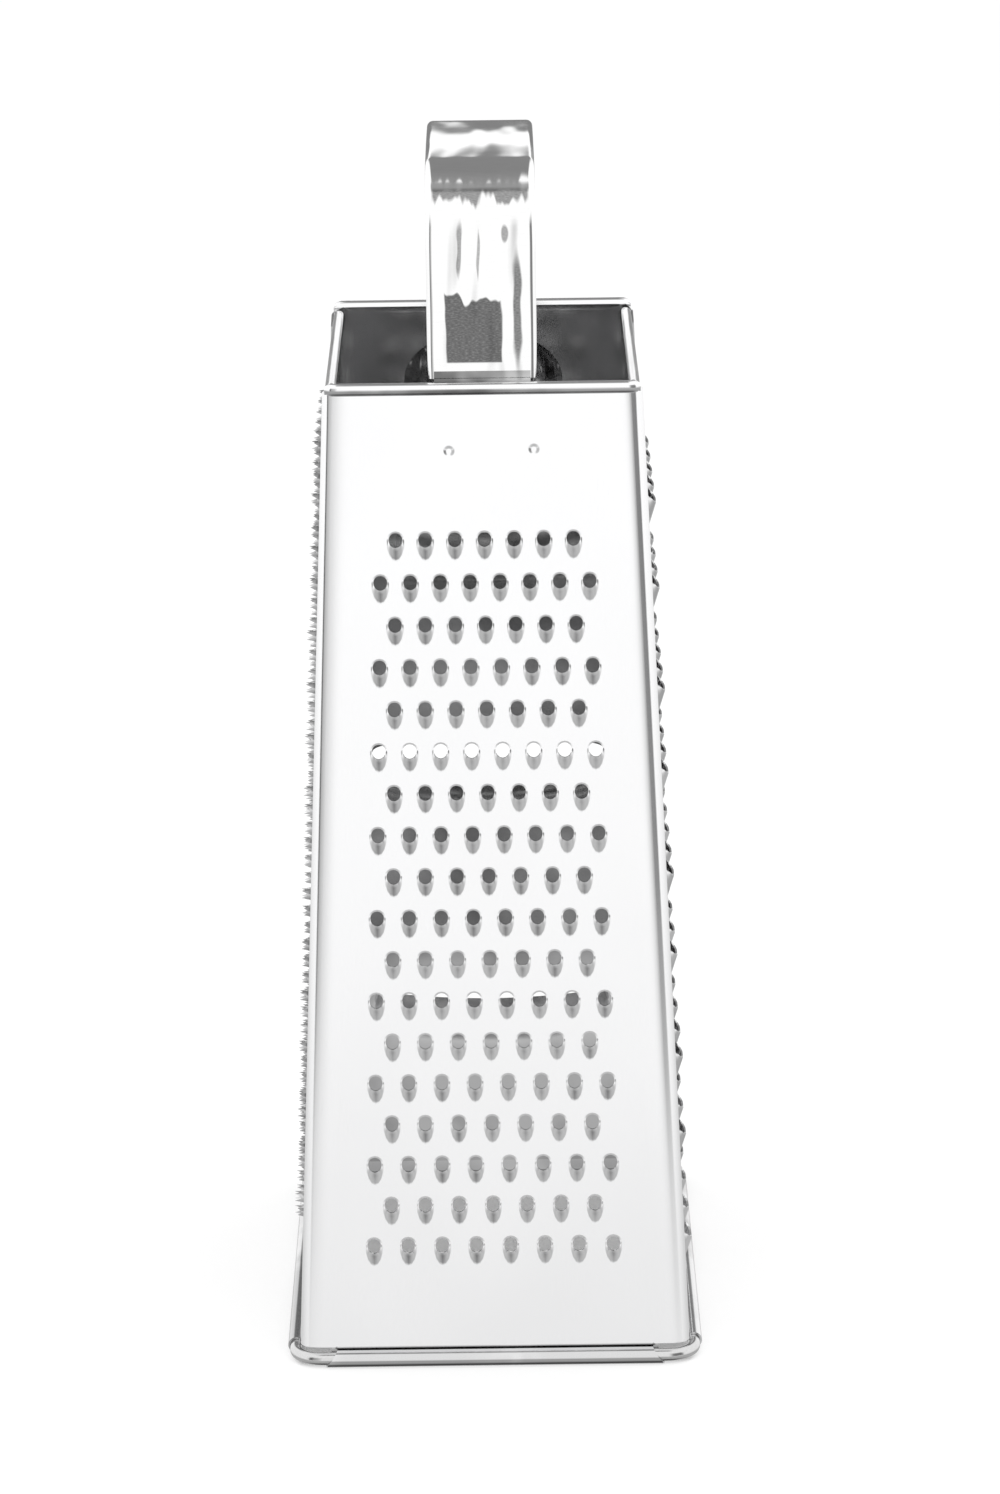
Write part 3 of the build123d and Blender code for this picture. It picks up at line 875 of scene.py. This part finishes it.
shift = calc(painted_reflection_group, "SUBTRACT", wander.outputs["Fac"], 0.5)
x = calc(painted_reflection_group, "MULTIPLY_ADD", shift, 1.6, axes["X"])
z = calc(painted_reflection_group, "MULTIPLY_ADD", shift, 5.0, axes["Z"])
bowed_z = calc(painted_reflection_group, "MULTIPLY_ADD", calc(painted_reflection_group, "POWER", axes["X"], 2), -0.05, z)
sides = calc(painted_reflection_group, "MULTIPLY", step(painted_reflection_group, x, -7.1, -6.7), step(painted_reflection_group, x, 4.1, 3.7))
wavy_top = step(painted_reflection_group, bowed_z, 214.7, 214.1)
ends = calc(painted_reflection_group, "MULTIPLY", wavy_top, step(painted_reflection_group, axes["Z"], 202.4, 202.8))
mask = calc(painted_reflection_group, "MULTIPLY", sides, ends)
for middle, half_size, strength in (
    ((7.0, 213.0), (0.9, 10.5), 0.9),
    ((-4.3, 224.5), (0.45, 5.0), 0.7),
    ((-0.4, 223.5), (0.28, 4.5), 0.6),
    ((4.5, 227.5), (0.7, 1.6), 0.7),
):
    streak = spot(painted_reflection_group, x, axes["Z"], middle, half_size, 0.25)
    mask = calc(painted_reflection_group, "MAXIMUM", mask, calc(painted_reflection_group, "MULTIPLY", streak, strength))
fringe_place = node(painted_reflection_group, "ShaderNodeVectorMath", operation="MULTIPLY")
fringe_place.inputs[1].default_value = (330, 0, 60)
fringe = node(painted_reflection_group, "ShaderNodeTexNoise", {"Scale": 1.0, "Detail": 2.0})
painted_reflection_group.links.new(own_place.outputs["Object"], fringe_place.inputs[0])
painted_reflection_group.links.new(fringe_place.outputs[0], fringe.inputs["Vector"])
hanging = calc(painted_reflection_group, "MULTIPLY_ADD", fringe.outputs["Fac"], 12.0, axes["Z"])
narrow = step(painted_reflection_group, calc(painted_reflection_group, "ABSOLUTE", axes["X"]), 9.6, 9.0)
under_bend = calc(painted_reflection_group, "MULTIPLY", narrow, step(painted_reflection_group, axes["Z"], 235.9, 235.1))
fringed = calc(painted_reflection_group, "MULTIPLY", step(painted_reflection_group, hanging, 239.0, 240.2), under_bend)
mask = calc(painted_reflection_group, "MAXIMUM", mask, calc(painted_reflection_group, "MULTIPLY", fringed, 0.8))
hatched = calc(painted_reflection_group, "MULTIPLY_ADD", hatch.outputs["Fac"], 0.5, 0.72)
grained_mask = calc(painted_reflection_group, "MULTIPLY", mask, hatched)
front_only = calc(painted_reflection_group, "MULTIPLY", grained_mask, step(painted_reflection_group, axes["Y"], -29, -31))
painted_reflection_group.links.new(calc(painted_reflection_group, "MINIMUM", front_only, 1.0), painted_reflection_out.inputs["Mask"])

handle_steel = steel(
    "handle_steel",
    colour=(0.84, 0.84, 0.84),
    roughness=0.07,
    grain=0.10,
    grain_stretch=(300, 300, 6000),
    waves=0.0008,
    wave_stretch=(1, 0.2, 0.2),
    wave_scale=180.0,
    # The patch lays a nearly black painted reflection where its mask is.
    patch=(painted_reflection_group, (0.12, 0.12, 0.12)),
)
handle.data.materials.append(handle_steel)
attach(handle, "root")
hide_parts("handle")

# The table: a white sheet of card that keeps the soft shadow under the base. It glows a little, less
# inside the base than outside, so that the hollow of the grater stays darker than its surroundings.
floor_mesh = bpy.data.meshes.new("table")
floor_mesh.from_pydata([(-6, -6, 0), (6, -6, 0), (6, 6, 0), (-6, 6, 0)], [], [(0, 1, 2, 3)])
table = bpy.data.objects.new("table", floor_mesh)
bpy.context.scene.collection.objects.link(table)
card = bpy.data.materials.new("white_card")
card.use_nodes = True
card_shader = card.node_tree.nodes["Principled BSDF"]
card_shader.inputs["Roughness"].default_value = 0.9
card_shader.inputs["Specular IOR Level"].default_value = 0.0
card_shader.inputs["Emission Color"].default_value = (1, 1, 1, 1)
card_axes = millimetres(card.node_tree)
across = calc(card.node_tree, "DIVIDE", calc(card.node_tree, "ABSOLUTE", card_axes["X"]), 41.0)
along = calc(card.node_tree, "DIVIDE", calc(card.node_tree, "ABSOLUTE", card_axes["Y"]), 56.0)
outside = step(card.node_tree, calc(card.node_tree, "MAXIMUM", across, along), 0.95, 1.0)
card_tone = node(card.node_tree, "ShaderNodeMix", data_type="RGBA")
card_tone.inputs["A"].default_value = (0.9, 0.9, 0.9, 1)
card_tone.inputs["B"].default_value = (0.4, 0.4, 0.4, 1)
card.node_tree.links.new(outside, card_tone.inputs["Factor"])
card.node_tree.links.new(card_tone.outputs["Result"], card_shader.inputs["Base Color"])
glow = calc(card.node_tree, "MULTIPLY_ADD", outside, 0.4, 0.2)
card.node_tree.links.new(glow, card_shader.inputs["Emission Strength"])
table.data.materials.append(card)
table.visible_glossy = False

# The studio: white all round for the eye, and for the steel a white tent with dark gaps in it, given
# by direction. They draw the grey lines along the bends and the dark band on top of the handle.
world = bpy.data.worlds.new("studio")
bpy.context.scene.world = world
world.use_nodes = True
sky = world.node_tree
sky.nodes.clear()
direction = node(sky, "ShaderNodeTexCoord")
split = node(sky, "ShaderNodeSeparateXYZ")
sky.links.new(direction.outputs["Generated"], split.inputs[0])
behind = node(sky, "ShaderNodeMath", {1: -1.0}, operation="MULTIPLY")
sky.links.new(split.outputs["Y"], behind.inputs[0])
azimuth = node(sky, "ShaderNodeMath", operation="ARCTAN2")
sky.links.new(split.outputs["X"], azimuth.inputs[0])
sky.links.new(behind.outputs[0], azimuth.inputs[1])
azimuth_share = node(sky, "ShaderNodeMath", {1: 0.5 / math.pi, 2: 0.5}, operation="MULTIPLY_ADD")
sky.links.new(azimuth.outputs[0], azimuth_share.inputs[0])
elevation = node(sky, "ShaderNodeMath", operation="ARCSINE")
sky.links.new(split.outputs["Z"], elevation.inputs[0])
elevation_share = node(sky, "ShaderNodeMath", {1: 1 / math.pi, 2: 0.5}, operation="MULTIPLY_ADD")
sky.links.new(elevation.outputs[0], elevation_share.inputs[0])


def ramp(tree, start, span, stops):
    """A colour ramp from pairs of degrees and grey level, over a span of degrees from a start."""
    made = tree.nodes.new("ShaderNodeValToRGB")
    elements = made.color_ramp.elements
    elements.remove(elements[-1])
    for number, (degrees, level) in enumerate(stops):
        position = (degrees - start) / span
        element = elements[0] if number == 0 else elements.new(position)
        element.position = position
        element.color = (level, level, level, 1)
    return made


by_azimuth = ramp(
    sky,
    start=-180,
    span=360,
    stops=[
        (-180, 1), (-52, 1), (-46, 0.12), (-38, 0.12), (-32, 0.4), (-16, 0.55), (-5, 1),
        (10, 1), (16, 0.5), (21, 0.22), (52, 0.2), (60, 1), (180, 1),
    ],
)
in_front = ramp(
    sky,
    start=-90,
    span=180,
    stops=[
        (-90, 0.04), (-75, 0.14), (-64, 0.34), (-50, 0.48), (-38, 0.52), (-28, 0.45), (-18, 0.62),
        (-13, 0.84), (-9, 0.95), (-5, 1), (79, 1), (84, 0.34), (90, 0.28),
    ],
)
at_the_back = ramp(
    sky,
    start=-90,
    span=180,
    stops=[
        (-90, 0.04), (-60, 0.2), (-52, 0.25), (-48, 1), (-42, 1), (-38, 0.3), (-12, 0.6), (-6, 0.2), (7, 0.2),
        (9, 1), (13.5, 1), (16.5, 0.22), (60, 0.22), (90, 0.28),
    ],
)
back_share = ramp(sky, -180, 360, [(-180, 1), (-168, 1), (-160, 0), (160, 0), (168, 1), (180, 1)])
low_share = ramp(sky, -90, 180, [(-90, 1), (-12.5, 1), (-9, 0), (30, 0), (45, 1), (90, 1)])
sky.links.new(azimuth_share.outputs[0], by_azimuth.inputs[0])
sky.links.new(azimuth_share.outputs[0], back_share.inputs[0])
sky.links.new(elevation_share.outputs[0], low_share.inputs[0])
sky.links.new(elevation_share.outputs[0], in_front.inputs[0])
sky.links.new(elevation_share.outputs[0], at_the_back.inputs[0])
front_to_back = node(sky, "ShaderNodeMix", data_type="RGBA")
sky.links.new(back_share.outputs["Color"], front_to_back.inputs["Factor"])
sky.links.new(in_front.outputs["Color"], front_to_back.inputs["A"])
sky.links.new(at_the_back.outputs["Color"], front_to_back.inputs["B"])
plain_below = node(sky, "ShaderNodeMix", data_type="RGBA")
plain_below.inputs["B"].default_value = (1, 1, 1, 1)
sky.links.new(low_share.outputs["Color"], plain_below.inputs["Factor"])
sky.links.new(by_azimuth.outputs["Color"], plain_below.inputs["A"])
tent = node(sky, "ShaderNodeMix", data_type="RGBA", blend_type="MULTIPLY")
tent.inputs["Factor"].default_value = 1.0
sky.links.new(plain_below.outputs["Result"], tent.inputs["A"])
sky.links.new(front_to_back.outputs["Result"], tent.inputs["B"])
path = node(sky, "ShaderNodeLightPath")
glossy_light = node(sky, "ShaderNodeBackground", {"Strength": 1.2})
sky.links.new(tent.outputs["Result"], glossy_light.inputs["Color"])
plain_light = node(sky, "ShaderNodeBackground", {"Color": (1, 1, 1, 1), "Strength": 1.0})
mix = node(sky, "ShaderNodeMixShader")
sky.links.new(path.outputs["Is Glossy Ray"], mix.inputs["Fac"])
sky.links.new(plain_light.outputs[0], mix.inputs[1])
sky.links.new(glossy_light.outputs[0], mix.inputs[2])
out = node(sky, "ShaderNodeOutputWorld")
sky.links.new(mix.outputs[0], out.inputs["Surface"])

lamp_data = bpy.data.lights.new("overhead_softbox", "AREA")
lamp_data.shape = "RECTANGLE"
lamp_data.size = 1.2
lamp_data.size_y = 1.2
lamp_data.energy = 6.0
lamp = bpy.data.objects.new("overhead_softbox", lamp_data)
lamp.location = (0, -0.2, 1.4)
lamp.visible_glossy = False
bpy.context.scene.collection.objects.link(lamp)

# The camera: a long lens above the rim, looking down by sixteen degrees at the finely shredding
# wall, and rolled by less than one degree.
pitch, yaw, roll_angle = math.radians(16.222), math.radians(-0.0144), math.radians(0.7361)
forward = np.array(
    [math.sin(yaw) * math.cos(pitch), math.cos(yaw) * math.cos(pitch), -math.sin(pitch)]
)
level_right = np.array([math.cos(yaw), -math.sin(yaw), 0.0])
level_down = np.cross(forward, level_right)
image_right = math.cos(roll_angle) * level_right + math.sin(roll_angle) * level_down
image_down = -math.sin(roll_angle) * level_right + math.cos(roll_angle) * level_down
camera_data = bpy.data.cameras.new("camera")
camera_data.sensor_width = 36.0
camera_data.lens = 5619.2 / 1494 * 36
camera = bpy.data.objects.new("camera", camera_data)
turned = np.eye(4)
turned[:3, 0], turned[:3, 1], turned[:3, 2] = image_right, -image_down, -forward
turned[:3, 3] = np.array([2.80, -1108.76, 436.13]) / 1000
camera.matrix_world = Matrix(turned.tolist())
bpy.context.scene.collection.objects.link(camera)
bpy.context.scene.camera = camera
bpy.context.scene.view_settings.view_transform = "Standard"
